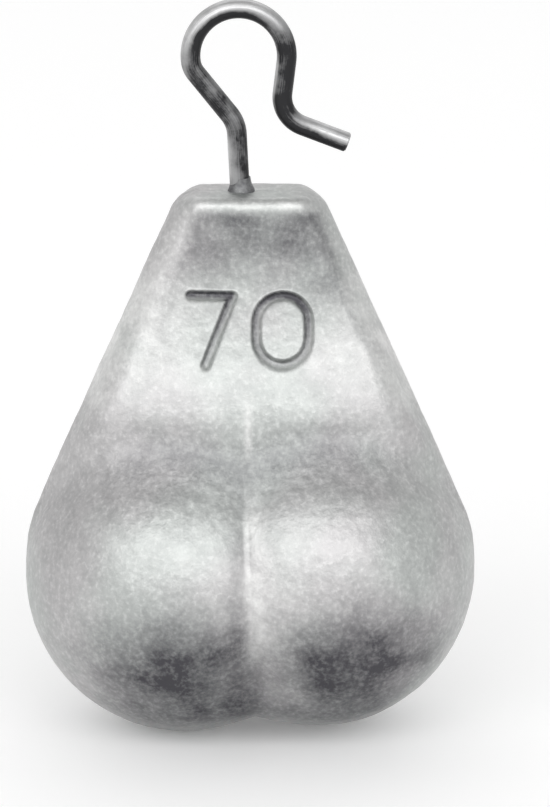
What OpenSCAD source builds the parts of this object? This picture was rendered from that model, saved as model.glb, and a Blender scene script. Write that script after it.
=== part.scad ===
// Fishing sinker: a two-lobed lead casting poured round an open hook of bent steel wire.
// Millimetres. The origin is the centre of the wire's loop, where the line pulls.
// +Z points up along the stem, X is the width and -Y is the face that carries the weight mark.

/* [Lead casting] */
// Height of the casting, from the neck's flat end to the bottom of the lobes
body_h = 31.2; // [28:0.2:36]
// Width of the neck's flat end, measured between the two flanks
neck_w = 8; // [7:0.1:10]
// Angle between each straight flank and the upright centreline
flank_angle = 24; // [21:0.5:26]
// Thickness of the neck, front to back
neck_t = 4.6; // [3.6:0.1:6]
// Thickness where the flare ends and the belly plate begins
belly_t = 9.1; // [7.5:0.1:11]
// Slope at which each face of the belly plate still grows thicker downwards
belly_slope = 5; // [0:1:8]
// Radius to which the two faces are crowned from side to side
crown_r = 30; // [24:1:60]
// Height of the upright part of the neck, below its flat end
neck_h = 2.2; // [1.6:0.1:4]
// Height of the hollow flare that joins the neck to the belly plate
flare_h = 9.3; // [8:0.1:12]
// Radius of the rounded lips at the front and back of the neck's flat end
lip_r = 0.7; // [0.4:0.05:1]
// Radius of the neck's two top corners, seen from the front
corner_r = 1; // [0.5:0.1:1.5]

/* [Lobes] */
// Radius of each round lobe
lobe_r = 9; // [8.5:0.1:10]
// Distance between the centres of the two lobes
lobe_pitch = 7.5; // [6.5:0.1:9]
// How much lower the left lobe is cast than the right one
lobe_step = 0.35; // [0:0.05:0.8]
// Radius of the shoulders that lead from the flanks to the lobes
shoulder_r = 8.4; // [7.8:0.1:8.8]

/* [Mould draft] */
// Lean of the flank walls, so that each half leaves its half of the mould
wall_draft = 13; // [8:1:20]

/* [Wire hook] */
// Thickness of the wire
wire_d = 1.1; // [0.8:0.05:1.4]
// Radius of the open loop, to the middle of the wire
loop_r = 2.66; // [2.4:0.02:3.4]
// Height of the loop's centre above the casting
loop_h = 7.6; // [7.2:0.1:10]
// How far the loop's centre stands left of the casting's centreline
loop_shift = 0.6; // [0:0.1:1.5]
// Radius of the tight bend that leaves the loop on the stem's side
kink_r = 1.25; // [1:0.05:1.6]
// Turn of that tight bend
kink_turn = 31; // [26:1:34]
// Angle between the slanted run below the loop and the upright
slant_angle = 38.6; // [34:0.2:42]
// Length of the slanted run
slant_l = 2.95; // [2.6:0.05:3.4]
// Radius of the elbow between the slanted run and the stem
elbow_r = 2; // [1.5:0.1:2.6]
// Lean of the stem from the upright
stem_lean = 3.2; // [0:0.2:5]
// Lean of the loop's free leg towards the throat
leg_lean = 7.2; // [4:0.2:10]
// Length of the straight part of the free leg
leg_l = 1.8; // [1.4:0.05:2.4]
// Radius of the bend at the throat
throat_r = 1.75; // [1.4:0.05:2.2]
// Slope of the guide tail below the level
tail_slope = 21; // [12:1:28]
// Length of the straight part of the guide tail
tail_l = 2.7; // [2:0.05:4]

/* [Hold in the lead] */
// Depth of the straight stem inside the casting
stem_depth = 9; // [7:0.5:11]
// Radius of the bend at the buried end of the stem
anchor_r = 1.6; // [1.4:0.1:2]
// Length of the buried foot beyond that bend
anchor_l = 2.4; // [1.5:0.1:3]
// Width of the small cone of lead that climbs the foot of the stem
collar_d = 1.5; // [1.4:0.05:2]
// Height of that cone
collar_h = 0.7; // [0.4:0.05:1]
// Gap that the cooling lead leaves round the wire
cast_gap = 0.02; // [0:0.01:0.05]

/* [Hidden] */
$fn = 96;
lead_colour = "#B4B6B4";
wire_colour = "#6F7174";
// Points in each quarter of a rounded corner of an outline
corner_steps = 12;
// Every second piece of the wire runs this far into its neighbours, and is this much slimmer to stay inside them
lap = 0.05;
lap_relief = 0.004;

// Casting, measured down from its flat end at the centreline
lobe_z = body_h - lobe_r;
flare_rise = (belly_t - neck_t) / 2;
flare_r = (flare_h * flare_h + flare_rise * flare_rise) / (2 * flare_rise);
flare_sweep = asin(flare_h / flare_r);
// Half of the plate's thickness at the depth of the lobes' centres, where the plate ends
plate_end = belly_t / 2 + (lobe_z - neck_h - flare_h) * tan(belly_slope);
// Distance from the parting plane back to the upright axis that a face is turned about
crown_back = crown_r - belly_t / 2;
// The shoulder's circle touches the flank line and is as wide as the lobes
shoulder_x = lobe_pitch / 2 + lobe_r - shoulder_r;
shoulder_z = (shoulder_r + (shoulder_x - neck_w / 2) * cos(flank_angle)) / sin(flank_angle);

function arc(cx, cy, r, from, to, steps) =
    [for (i = [0 : steps]) let (a = from + (to - from) * i / steps) [cx + r * cos(a), cy + r * sin(a)]];
function mirrored(points) = [for (i = [len(points) - 1 : -1 : 0]) [-points[i][0], points[i][1]]];

// Right half of the wedge that the two flanks enclose, down to where each one touches its shoulder
corner_x = neck_w / 2 + corner_r * (tan(flank_angle) - 1 / cos(flank_angle));
right_wedge = concat(
    arc(corner_x, -corner_r, corner_r, 90, flank_angle, corner_steps),
    [
        [shoulder_x + shoulder_r * cos(flank_angle), shoulder_r * sin(flank_angle) - shoulder_z],
        [shoulder_x, -shoulder_z]
    ]
);

// A face seen from the side, measured out from its crown's axis: the lip, the neck, the flare and the belly
face_outline = concat(
    [[0, 0]],
    arc(crown_back + neck_t / 2 - lip_r, -lip_r, lip_r, 90, 0, corner_steps),
    arc(crown_back + neck_t / 2 + flare_r, -neck_h, flare_r, 180, 180 + flare_sweep, corner_steps),
    [[crown_back + plate_end, -lobe_z], [0, -lobe_z]]
);

// Straight bar of wire from a point along a heading, which is measured from straight down towards +X
module wire_run(from, heading, length, d, lap = 0) {
    translate([from[0], 0, from[1]])
        rotate([0, 180 - heading, 0])
            translate([0, 0, -lap])
                cylinder(d = d, h = length + 2 * lap);
}

// Bend of wire about a centre in the XZ plane, between two angles from +X towards +Z
module wire_bend(centre, r, from, to, d, lap = 0) {
    spare = lap / r * 180 / PI;
    translate([centre[0], 0, centre[1]])
        rotate([90, 0, 0])
            rotate([0, 0, from - spare])
                rotate_extrude(angle = to - from + 2 * spare)
                    translate([r, 0])
                        circle(d = d);
}

function polar(r, a) = [r * cos(a), r * sin(a)];
function along(heading, length) = [length * sin(heading), -length * cos(heading)];

// Stem side of the hook, followed down from the loop
kink_start = 180 + slant_angle - kink_turn;
kink_centre = polar(loop_r - kink_r, kink_start);
slant_start = kink_centre + polar(kink_r, 180 + slant_angle);
elbow_start = slant_start + along(slant_angle, slant_l);
elbow_centre = elbow_start + polar(elbow_r, 180 + slant_angle);
stem_start = elbow_centre + polar(elbow_r, stem_lean);
stem_l = (loop_h + stem_start[1]) / cos(stem_lean) + stem_depth;
stem_end = stem_start + along(stem_lean, stem_l);
foot = stem_start + along(stem_lean, stem_l - stem_depth);
anchor_centre = stem_end + polar(anchor_r, stem_lean);
anchor_end = anchor_centre + [0, -anchor_r];

// Free side of the hook, followed down from the loop
leg_start = polar(loop_r, -leg_lean);
leg_end = leg_start + along(-leg_lean, leg_l);
throat_centre = leg_end + polar(throat_r, -leg_lean);
tail_start = throat_centre + polar(throat_r, 270 - tail_slope);

// The whole hook, with its thickness grown by twice a gap where it is used to cut
module wire_path(gap) {
    full = wire_d + 2 * gap;
    slim = full - lap_relief;
    wire_bend([0, 0], loop_r, -leg_lean, kink_start, full);
    wire_bend(kink_centre, kink_r, kink_start, 180 + slant_angle, slim, lap);
    wire_run(slant_start, slant_angle, slant_l, full);
    wire_bend(elbow_centre, elbow_r, stem_lean, slant_angle, slim, lap);
    wire_run(stem_start, stem_lean, stem_l, full);
    wire_bend(anchor_centre, anchor_r, 180 + stem_lean, 270, slim, lap);
    wire_run(anchor_end, 90, anchor_l + gap, full);
    wire_run(leg_start, -leg_lean, leg_l, slim, lap);
    wire_bend(throat_centre, throat_r, 180 - leg_lean, 270 - tail_slope, full);
    wire_run(tail_start, 90 - tail_slope, tail_l, slim, lap);
}

// Everything outside one drafted wall, which leans in from the parting plane along a flank
module outside_wall(side, face) {
    reach = body_h + belly_t;
    translate([side * neck_w / 2, 0, 0])
        rotate([0, -side * flank_angle, 0])
            rotate([0, 0, side * face * wall_draft])
                translate([side * reach / 2, 0, 0])
                    cube([reach, reach, 2 * reach], center = true);
}

// The wedge between the flanks, with its four walls drafted
module wedge() {
    difference() {
        rotate([90, 0, 0])
            linear_extrude(height = 2 * plate_end, center = true)
                polygon(concat(right_wedge, mirrored(right_wedge)));
        for (side = [-1, 1])
            for (face = [-1, 1])
                outside_wall(side, face);
    }
}

// One shoulder: two cones, back to back on the parting plane, with the same draft as the walls
module shoulder(side) {
    translate([side * shoulder_x, 0, -shoulder_z])
        for (turn = [-90, 90])
            rotate([turn, 0, 0])
                cylinder(r1 = shoulder_r, r2 = shoulder_r - plate_end * tan(wall_draft), h = plate_end);
}

// Everything behind one crowned face, turned about its upright axis
module behind_face(face) {
    translate([0, -face * crown_back, 0])
        rotate_extrude()
            polygon(face_outline);
}

// Neck, flare and belly plate: the drafted outline from the front, cut by the two crowned faces
module plate() {
    intersection() {
        union() {
            wedge();
            shoulder(-1);
            shoulder(1);
        }
        behind_face(-1);
        behind_face(1);
    }
}

// Cone of lead that climbs the stem where it leaves the casting
module collar() {
    translate([foot[0], 0, foot[1]])
        rotate([0, -stem_lean, 0])
            translate([0, 0, -collar_h])
                cylinder(d1 = 2 * collar_d - wire_d, d2 = wire_d, h = 2 * collar_h);
}

module lobe(side) {
    translate([side * lobe_pitch / 2, 0, -lobe_z + side * lobe_step / 2])
        rotate([90, 90, 0])
            sphere(r = lobe_r);
}

module lead_body() {
    color(lead_colour)
        difference() {
            union() {
                translate([loop_shift, 0, -loop_h]) {
                    plate();
                    lobe(-1);
                    lobe(1);
                }
                collar();
            }
            wire_path(cast_gap);
        }
}

module wire_clip() {
    color(wire_colour)
        wire_path(0);
}

lead_body();
wire_clip();
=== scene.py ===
"""Fishing sinker: a two-lobed lead casting poured round an open hook of bent steel wire.

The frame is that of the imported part: +Z points up along the stem, X is the width, -Y is the marked
face, and the origin is the centre of the hook's loop. The sinker's classes hold their sizes in
millimetres, and the finishes, the lamps and the floor theirs in metres. Meshes are written in metres.
"""

import enum
import logging
import math
from dataclasses import dataclass, field

import bpy
import numpy as np
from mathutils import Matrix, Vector


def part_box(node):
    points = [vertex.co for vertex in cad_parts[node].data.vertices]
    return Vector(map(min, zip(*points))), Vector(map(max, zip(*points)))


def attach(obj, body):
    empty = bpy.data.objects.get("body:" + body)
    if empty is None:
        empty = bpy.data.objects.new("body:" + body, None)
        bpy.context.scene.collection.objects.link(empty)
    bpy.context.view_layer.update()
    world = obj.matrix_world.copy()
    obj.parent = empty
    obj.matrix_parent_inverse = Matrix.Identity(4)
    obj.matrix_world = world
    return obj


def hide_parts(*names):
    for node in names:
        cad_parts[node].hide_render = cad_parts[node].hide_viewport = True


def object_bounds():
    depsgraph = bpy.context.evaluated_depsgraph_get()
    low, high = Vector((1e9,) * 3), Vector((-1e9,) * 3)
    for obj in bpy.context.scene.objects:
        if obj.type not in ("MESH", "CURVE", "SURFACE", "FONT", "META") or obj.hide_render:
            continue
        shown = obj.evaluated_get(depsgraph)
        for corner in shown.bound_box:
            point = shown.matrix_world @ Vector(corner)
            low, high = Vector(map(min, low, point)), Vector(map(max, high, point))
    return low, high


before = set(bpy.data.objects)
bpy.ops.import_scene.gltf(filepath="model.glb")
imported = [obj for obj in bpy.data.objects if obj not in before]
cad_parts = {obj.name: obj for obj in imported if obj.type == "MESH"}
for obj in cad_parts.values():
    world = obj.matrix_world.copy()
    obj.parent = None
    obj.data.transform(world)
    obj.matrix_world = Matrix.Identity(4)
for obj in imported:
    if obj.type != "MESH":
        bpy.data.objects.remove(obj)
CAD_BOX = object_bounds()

MM = 0.001
ROOT = "root"

# Uneven ground: the number of its waves, and the shortest and longest of them as shares of their size
WAVE_COUNT = 28
WAVE_SPREAD = (0.7, 1.5)

# Places of the loop and of the straight stem among the wire's stretches
LOOP_STRETCH = 3
STEM_STRETCH = 7

# The two ends of a smooth step, and a band that comes in over one step and goes out over another
Ends = tuple[float, float]
Band = tuple[Ends, Ends]

# Two numbers of a place or direction on a flat drawing, three of a place in space, and a colour
Place = tuple[float, float]
Point = tuple[float, float, float]
Colour = tuple[float, float, float]

# What a node's socket is given: another node's output, or a plain colour or number
Value = bpy.types.NodeSocket | Colour | float

log = logging.getLogger("sinker")


class Face(enum.Enum):
    """The two faces of the casting, with the sign of Y on each."""

    FRONT = -1
    BACK = 1


class Bend(enum.Enum):
    """Which way a stretch of wire turns, seen from the front."""

    LEFT = 1
    RIGHT = -1
    NONE = 0


class Seed(enum.Enum):
    """Seeds of the uneven grounds, one for each use."""

    DENTS = 11
    PITS = 12
    FLASH = 13
    SEAM = 14
    # Seeds of the unevenness in the painted shade and in the painted highlight
    SHADE_WAVES = 15
    HIGHLIGHT_WAVES = 16


# Fields: numbers that are negative inside a solid, zero on its surface and positive outside


def rounded_cut(a: np.ndarray, b: np.ndarray, radius: np.ndarray | float) -> np.ndarray:
    """Intersects two fields and rounds the outer edge between them.

    The edge is where both fields, each moved in by the radius, have the length of the radius.

    Args:
        a: Field of the first solid.
        b: Field of the second solid.
        radius: Radius of the rounded edge.

    Returns:
        Field of the intersection.
    """
    corner = np.hypot(np.maximum(a + radius, 0), np.maximum(b + radius, 0))
    return np.minimum(-radius, np.maximum(a, b)) + corner


def rounded_join(a: np.ndarray, b: np.ndarray, radius: np.ndarray | float) -> np.ndarray:
    """Unites two fields and fills the inner corner between them with a fillet.

    Args:
        a: Field of the first solid.
        b: Field of the second solid.
        radius: Radius of the fillet.

    Returns:
        Field of the union.
    """
    corner = np.hypot(np.maximum(radius - a, 0), np.maximum(radius - b, 0))
    return np.maximum(radius, np.minimum(a, b)) - corner


def ease(low: float, high: float, x: np.ndarray) -> np.ndarray:
    """Smooth step of x: 0 below low, 1 above high, and 3t^2 - 2t^3 between them."""
    t = np.clip((x - low) / (high - low), 0, 1)
    return t * t * (3 - 2 * t)


def within(band: Band, x: np.ndarray) -> np.ndarray:
    """1 inside a band of x and 0 outside it, with a smooth step at each end."""
    (start, full), (fading, end) = band
    return ease(start, full, x) * (1 - ease(fading, end, x))


def bell(middle: float, width: float, x: np.ndarray) -> np.ndarray:
    """Bell curve of x: the exponential of minus the square of its distance from the middle in widths."""
    return np.exp(-(((x - middle) / width) ** 2))


def waves(points: np.ndarray, size: float, seed: Seed, limit: float = math.inf) -> np.ndarray:
    """Uneven ground made of plane sine waves that run in all directions.

    The value is the sum over the waves of sin(k.p + phase), divided so that it mostly lies from -1 to 1.

    Args:
        points: Points in millimetres, with X, Y and Z in the last axis.
        size: Length of the waves in millimetres, from which each one differs by its share.
        seed: Seed of the directions, lengths and phases.
        limit: Largest value, up and down, that is let through.

    Returns:
        One value for each point.
    """
    rng = np.random.default_rng(seed.value)
    heading = rng.normal(size=(WAVE_COUNT, 3))
    heading /= np.linalg.norm(heading, axis=1, keepdims=True)
    pace = 2 * math.pi / (size * rng.uniform(*WAVE_SPREAD, WAVE_COUNT))
    phase = rng.uniform(0, 2 * math.pi, WAVE_COUNT)
    ground = np.sin(points @ (heading * pace[:, None]).T + phase).sum(-1) / math.sqrt(2 * WAVE_COUNT)
    return np.clip(ground, -limit, limit)


def running_sum(steps: np.ndarray, axis: int) -> np.ndarray:
    """Sum of the steps up to each one along an axis, with a 0 before the first."""
    return np.cumsum(np.insert(steps, 0, 0, axis=axis), axis=axis)


def evened(places: np.ndarray, points: np.ndarray, weight: np.ndarray | float, count: int) -> np.ndarray:
    """Places along each row at equal steps of its length, which counts for more where its weight is high.

    All rows are laid end to end, so that one interpolation serves them all.

    Args:
        places: Parameter of each sample, as rows.
        points: Point of each sample, as rows by samples by X, Y and Z.
        weight: Weight of each step between two samples.
        count: Number of steps.

    Returns:
        Parameter at the count + 1 equal steps of each row.
    """
    lengths = running_sum(np.linalg.norm(np.diff(points, axis=1), axis=-1) * weight, 1)
    offset = 2 * np.arange(len(lengths))[:, None]
    known = lengths / lengths[:, -1:] + offset
    wanted = np.linspace(0, 1, count + 1)[None, :] + offset
    return np.interp(wanted.ravel(), known.ravel(), places.ravel()).reshape(wanted.shape)


def blurred(rows: np.ndarray, reach: int) -> np.ndarray:
    """Mean of each row with the rows up to the given reach before and after it.

    It is the difference of two running sums, divided by their distance.

    Args:
        rows: Values as rows.
        reach: Number of rows on each side.

    Returns:
        The means, as many rows as before.
    """
    padded = np.pad(rows, ((reach + 1, reach), (0, 0)), mode="edge")
    total = np.cumsum(padded, axis=0)
    width = 2 * reach + 1
    return (total[width:] - total[:-width]) / width


def placed(name: str, data: bpy.types.ID) -> bpy.types.Object:
    """Makes an object and puts it in the scene.

    Args:
        name: Name of the new object.
        data: Its mesh, lamp or camera.

    Returns:
        The object.
    """
    made = bpy.data.objects.new(name, data)
    bpy.context.scene.collection.objects.link(made)
    return made


def closed_mesh(name: str, rings: np.ndarray) -> bpy.types.Object:
    """Makes a closed mesh of rings of points, whose first and last rings shrink to one point each.

    Args:
        name: Name of the new object.
        rings: Points in millimetres, as rings by points by X, Y and Z. Seen along the rings' order,
            the points of each ring run anticlockwise.

    Returns:
        The object, with its place in its mesh.
    """
    count, sides = rings.shape[:2]
    inner = rings[1:-1].reshape(-1, 3)
    points = np.concatenate([rings[0, :1], inner, rings[-1, :1]]) * MM
    ring = np.arange(count - 2).reshape(-1, 1) * sides + 1
    here = ring + np.arange(sides)
    after = ring + (np.arange(sides) + 1) % sides
    quads = np.stack([here[:-1], here[1:], after[1:], after[:-1]], -1).reshape(-1, 4)
    start = np.stack([np.zeros(sides, int), here[0], after[0]], -1)
    end = np.stack([np.full(sides, len(points) - 1), after[-1], here[-1]], -1)
    mesh = bpy.data.meshes.new(name)
    mesh.from_pydata(points.tolist(), [], quads.tolist() + start.tolist() + end.tolist())
    mesh.validate()
    mesh.shade_smooth()
    return placed(name, mesh)


def keep_attribute(piece: bpy.types.Object, name: str, rings: np.ndarray) -> None:
    """Stores a number or a vector for each point of a closed mesh, for its finish to read.

    Args:
        piece: Object made by closed_mesh.
        name: Name of the attribute.
        rings: Values as rings by points, with a last axis of 3 for a vector.
    """
    sides = rings.shape[1]
    flat = rings.reshape(-1, 3) if rings.ndim == 3 else rings.reshape(-1, 1)
    values = np.concatenate([flat[:1], flat[sides:-sides], flat[-1:]])
    kind, key = ("FLOAT_VECTOR", "vector") if rings.ndim == 3 else ("FLOAT", "value")
    attribute = piece.data.attributes.new(name, kind, "POINT")
    attribute.data.foreach_set(key, values.astype(np.float32).ravel())


def rings_along(
    middle: np.ndarray, heading: np.ndarray, radius: np.ndarray, sides: int
) -> tuple[np.ndarray, np.ndarray, np.ndarray]:
    """Circles square to a line in the XZ plane.

    A point is its circle's centre + radius * (cos a * across + sin a * Y), where across is square to the
    heading and to Y.

    Args:
        middle: Centres of the circles, as X and Z.
        heading: Direction of the line at each centre, as an angle from +X towards +Z.
        radius: Radius of each circle.
        sides: Points in each circle.

    Returns:
        The points as rings by points by X, Y and Z, their directions away from the line, and the angles a.
    """
    around = np.linspace(0, 2 * math.pi, sides, endpoint=False)
    level = np.zeros(len(heading))
    across = np.stack([-np.sin(heading), level, np.cos(heading)], -1)
    centre = np.stack([middle[:, 0], level, middle[:, 1]], -1)
    outward = np.cos(around)[None, :, None] * across[:, None, :]
    outward = outward + np.sin(around)[None, :, None] * np.array([0, 1, 0])
    return centre[:, None, :] + radius[:, None, None] * outward, outward, around


@dataclass
class WeightMark:
    """The plain number cut into the marked face: a 7 and a 0, each of strokes of one width.

    Depths are measured down from the casting's flat end, and widths from its axis.
    """

    top: float = 5.2
    height: float = 4.29
    stroke: float = 0.56
    depth: float = 0.3
    floor_share: float = 0.3
    # Painted shade in the strokes: its shift towards their upper left walls, its fade towards the foot, and
    # the cut over which it comes in
    shade_shift: float = 0.12
    shade_fade: float = 0.5
    shade_edge: Ends = (0, 0.5)
    seven_left: float = -3.55
    seven_width: float = 2.9
    seven_foot_share: float = 0.36
    zero_left: float = 0.1
    zero_width: float = 3.45
    reach: float = 1.2

    def bar(self, x: np.ndarray, s: np.ndarray, start: Place, end: Place) -> np.ndarray:
        """Distance from points to a straight stroke: to the nearest point of the line between its ends.

        Args:
            x: Widths of the points.
            s: Depths of the points below the flat end.
            start: Width and depth of one end of the stroke's middle line.
            end: Width and depth of its other end.

        Returns:
            Distance of each point.
        """
        run = np.subtract(end, start)
        t = np.clip(((x - start[0]) * run[0] + (s - start[1]) * run[1]) / (run @ run), 0, 1)
        return np.hypot(x - start[0] - t * run[0], s - start[1] - t * run[1])

    def distance(self, x: np.ndarray, s: np.ndarray) -> np.ndarray:
        """Distance from points to the nearest stroke's middle line.

        Args:
            x: Widths of the points.
            s: Depths of the points below the flat end.

        Returns:
            Distance of each point.
        """
        half = self.stroke / 2
        high, low = self.top + half, self.top + self.height - half
        left, right = self.seven_left + half, self.seven_left + self.seven_width - half
        foot = left + self.seven_foot_share * (right - left)
        seven = np.minimum(
            self.bar(x, s, (left, high), (right, high)),
            self.bar(x, s, (right, high), (foot, low)),
        )
        # The 0 is an upright bar with round ends, whose outline alone is cut
        middle = self.zero_left + self.zero_width / 2
        round_r = self.zero_width / 2 - half
        spine = self.bar(x, s, (middle, high + round_r), (middle, low - round_r))
        return np.minimum(seven, np.abs(spine - round_r))

    def cut(self, x: np.ndarray, s: np.ndarray) -> np.ndarray:
        """Share of the full depth that is cut away: each stroke is a round-bottomed trough."""
        return 1 - ease(0, self.stroke / 2, self.distance(x, s) - self.floor_share * self.stroke / 2)

    def shade_share(self, x: np.ndarray, s: np.ndarray) -> np.ndarray:
        """Share of painted shade in the strokes: most along their upper left walls, less towards the mark's
        foot.
        """
        shifted = self.cut(x + self.shade_shift, s + self.shade_shift) * ease(*self.shade_edge, self.cut(x, s))
        return shifted * (1 - self.shade_fade * ease(self.top, self.top + self.height, s))

    def nearness(self, x: np.ndarray, s: np.ndarray) -> np.ndarray:
        """How near points are to the mark: 1 in its own box, falling to 0 at the reach outside it.

        Args:
            x: Widths of the points.
            s: Depths of the points below the flat end.

        Returns:
            Nearness of each point.
        """
        out_x = np.maximum(self.seven_left - x, x - self.zero_left - self.zero_width)
        out_s = np.maximum(self.top - s, s - self.top - self.height)
        return 1 - ease(0, self.reach, np.maximum(np.maximum(out_x, out_s), 0))


@dataclass(frozen=True)
class CastLead:
    """Dull cast lead, grey and mottled with a fine grain, with painted highlight and shade in its colour.
    """

    name: str = "cast_lead"
    light: Colour = (0.60, 0.60, 0.595)
    dark: Colour = (0.44, 0.442, 0.44)
    cool: Colour = (0.97, 1.0, 0.985)
    warm: Colour = (1.0, 0.985, 0.995)
    # Colours of the painted shade and of the painted highlight, mixed in where the mesh's attributes say
    painted_shade: Colour = (0.085, 0.083, 0.092)
    painted_highlight: Colour = (0.82, 0.82, 0.81)
    fleck: Colour = (0.9, 0.9, 0.9)
    fleck_share: float = 0.16
    mottle_ends: Ends = (0.34, 0.68)
    grain_ends: Ends = (0.36, 0.66)
    cloud_ends: Ends = (0.4, 0.62)
    fleck_ends: Ends = (0.56, 0.7)
    rough_ends: Ends = (0.3, 0.7)
    # How much the tone breaks up the painted shade and the painted highlight
    shade_speckle: float = 0.4
    highlight_speckle: float = 0.6
    roughness: float = 0.44
    roughness_spread: float = 0.1
    grain_per_m: float = 3600
    mottle_per_m: float = 900
    cloud_per_m: float = 150
    grain_height: float = 0.015 * MM
    mottle_height: float = 2.0

    def material(self) -> bpy.types.Material:
        """Builds the node tree.

        Three noises on Object coordinates give the grain, the mottling and the large clouds of tint.
        The mesh's own attributes tell where a highlight and where shade are painted on the metal, and
        the mottling and the grain break up both. The mottling's height is in heights of the grain.

        Returns:
            The material.
        """
        tree = MaterialTree(self.name)
        grain = tree.noise(self.grain_per_m, detail=3, roughness=0.62)
        mottle = tree.noise(self.mottle_per_m, detail=4, roughness=0.6)
        cloud = tree.noise(self.cloud_per_m, detail=2, roughness=0.5)
        tone = tree.maths("ADD", tree.ramp(mottle, self.mottle_ends), tree.ramp(grain, self.grain_ends))
        tone = tree.maths("MULTIPLY", tone, 0.5)
        colour = tree.mix(tone, self.dark, self.light)
        tint = tree.mix(tree.ramp(cloud, self.cloud_ends), self.cool, self.warm)
        colour = tree.mix(1.0, colour, tint, "MULTIPLY")
        # Painted highlight: a brighter metal colour mixed in by the mesh's attribute, broken up by the tone
        highlight_breakup = tree.maths("MULTIPLY_ADD", tone, self.highlight_speckle, 1 - self.highlight_speckle / 2)
        colour = tree.mix(tree.maths("MULTIPLY", tree.attribute("painted_highlight"), highlight_breakup), colour, self.painted_highlight)
        flecks = tree.maths("MULTIPLY", tree.ramp(grain, self.fleck_ends), self.fleck_share)
        colour = tree.mix(flecks, colour, self.fleck)
        # Painted shade: a near-black colour mixed in by the mesh's attribute, broken up by the tone
        uneven = tree.maths("MULTIPLY_ADD", tone, -self.shade_speckle, 1 + self.shade_speckle / 2)
        shade_share = tree.maths("MULTIPLY", tree.attribute("painted_shade"), uneven)
        colour = tree.mix(shade_share, colour, self.painted_shade)
        rough = tree.ramp(grain, self.rough_ends)
        rough = tree.maths("MULTIPLY_ADD", rough, self.roughness_spread, self.roughness)
        height = tree.maths("MULTIPLY_ADD", mottle, self.mottle_height, grain)
        tree.finish(colour, rough, 1.0, height, self.grain_height)
        return tree.material


@dataclass(frozen=True)
class DrawnSteel:
    """Drawn steel wire, grey with lines and stains, with painted shade on the sides away from the light."""

    name: str = "steel_wire"
    light: Colour = (0.86, 0.86, 0.86)
    dark: Colour = (0.34, 0.34, 0.345)
    # Colour of the painted shade, and how the stains and lines break up its edges
    wire_shade: Colour = (0.035, 0.035, 0.037)
    wire_shade_ends: Ends = (0.2, 0.8)
    wire_shade_stain: float = 1.3
    wire_shade_lines: float = 0.7
    wire_shade_less: float = 0.98
    line_ends: Ends = (0.3, 0.7)
    stain_ends: Ends = (0.25, 0.6)
    roughness: float = 0.36
    roughness_spread: float = 0.16
    line_per_radius: float = 9
    line_stretch: float = 0.05
    stain_per_m: float = 700
    line_height: float = 0.004 * MM

    def material(self) -> bpy.types.Material:
        """Builds the node tree.

        The mesh's own attributes hold the place round and along the wire, so that the lines follow its
        bends, and the share of painted shade. The stains and the lines break up the painted shade's edges.

        Returns:
            The material.
        """
        tree = MaterialTree(self.name)
        along = tree.mapped(tree.attribute("drawn", vector=True), (1, 1, self.line_stretch))
        lines = tree.noise(self.line_per_radius, detail=4, roughness=0.65, vector=along)
        stain = tree.noise(self.stain_per_m, detail=4, roughness=0.6)
        tone = tree.maths("MULTIPLY", tree.ramp(lines, self.line_ends), tree.ramp(stain, self.stain_ends))
        colour = tree.mix(tone, self.dark, self.light)
        # Painted shade: the mesh's share of it, broken up by the stains and lines, mixes in a near-black
        # colour
        wire_shade = tree.maths("SUBTRACT", tree.attribute("wire_shade"), self.wire_shade_less)
        wire_shade = tree.maths("MULTIPLY_ADD", stain, self.wire_shade_stain, wire_shade)
        wire_shade = tree.maths("MULTIPLY_ADD", lines, self.wire_shade_lines, wire_shade)
        colour = tree.mix(tree.ramp(wire_shade, self.wire_shade_ends), colour, self.wire_shade)
        rough = tree.maths("MULTIPLY_ADD", stain, self.roughness_spread, self.roughness)
        tree.finish(colour, rough, 1.0, lines, self.line_height)
        return tree.material


@dataclass(frozen=True)
class PaleFloor:
    """Matt white card with a barely visible tooth."""

    name: str = "pale_floor"
    colour: Colour = (0.94, 0.94, 0.94)
    shade: Colour = (0.93, 0.93, 0.93)
    backdrop_glow: float = 0.12
    specular: float = 0.1
    roughness: float = 0.9
    tooth_per_m: float = 2500
    tooth_height: float = 0.003 * MM

    def material(self) -> bpy.types.Material:
        """Builds the node tree.

        A fine noise varies the card's tone and height a little. What the camera sees, directly or in the
        metal, also glows faintly, as a lit white backdrop does, and that lights nothing.

        Returns:
            The material.
        """
        tree = MaterialTree(self.name)
        tooth = tree.noise(self.tooth_per_m, detail=2, roughness=0.5)
        colour = tree.mix(tooth, self.shade, self.colour)
        tree.shader.inputs["Specular IOR Level"].default_value = self.specular
        tree.finish(colour, self.roughness, 0.0, tooth, self.tooth_height)
        rays = tree.nodes.new("ShaderNodeLightPath").outputs
        seen = tree.maths("MAXIMUM", rays["Is Camera Ray"], rays["Is Glossy Ray"])
        seen = tree.maths("MAXIMUM", seen, rays["Is Transmission Ray"])
        tree.shader.inputs["Emission Color"].default_value = (1, 1, 1, 1)
        tree.wire(tree.maths("MULTIPLY", seen, self.backdrop_glow), tree.shader.inputs["Emission Strength"])
        return tree.material


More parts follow.
